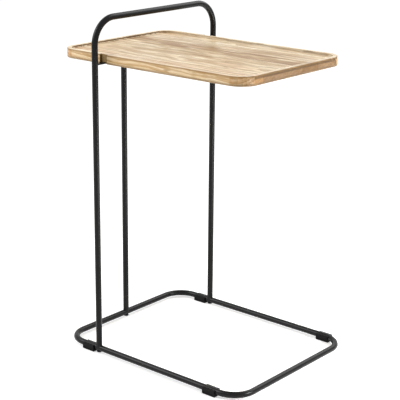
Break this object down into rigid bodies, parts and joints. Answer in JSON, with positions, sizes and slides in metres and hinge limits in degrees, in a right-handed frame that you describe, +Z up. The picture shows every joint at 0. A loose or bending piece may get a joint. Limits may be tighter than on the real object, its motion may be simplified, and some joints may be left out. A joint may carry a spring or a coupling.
{
  "type": "c shaped side table",
  "caption": "C-shaped side table: a lipped wooden tray held on one side by a bent steel tube frame with a carrying handle and an open floor ring.",
  "frame": {"origin": "on the floor, at the middle of the rectangle that the table covers from above", "axes": "+Z up, +X towards the free end of the tray and the open end of the C, +Y to the left of someone looking along +X"},
  "size_m": [0.47, 0.3602, 0.667],
  "materials": {
    "powder_coated_tube": "satin black powder coat on steel tube",
    "powder_coated_flat": "satin black powder coat on flat steel",
    "zinc_plated_steel": "zinc plated",
    "black_oxide_bolt": "black oxide",
    "lacquered_wood": "solid mango-like boards, satin lacquer",
    "foot_clip_plastic": "moulded black plastic"
  },
  "bodies": {
    "root": {"base_ring": "powder_coated_tube", "handle_hoop": "powder_coated_tube", "rear_post": "powder_coated_tube", "cross_bar": "powder_coated_flat", "rear_plate": "powder_coated_flat", "foot_plugs": "zinc_plated_steel", "foot_bolts": "black_oxide_bolt", "wood_screws": "zinc_plated_steel", "tray_stave_1": "lacquered_wood", "tray_stave_2": "lacquered_wood", "tray_stave_3": "lacquered_wood", "tray_stave_4": "lacquered_wood", "tray_stave_5": "lacquered_wood", "tray_stave_6": "lacquered_wood", "foot_clip_rear_right": "foot_clip_plastic", "foot_clip_rear_left": "foot_clip_plastic", "foot_clip_front_right": "foot_clip_plastic", "foot_clip_front_left": "foot_clip_plastic"}
  },
  "joints": []
}
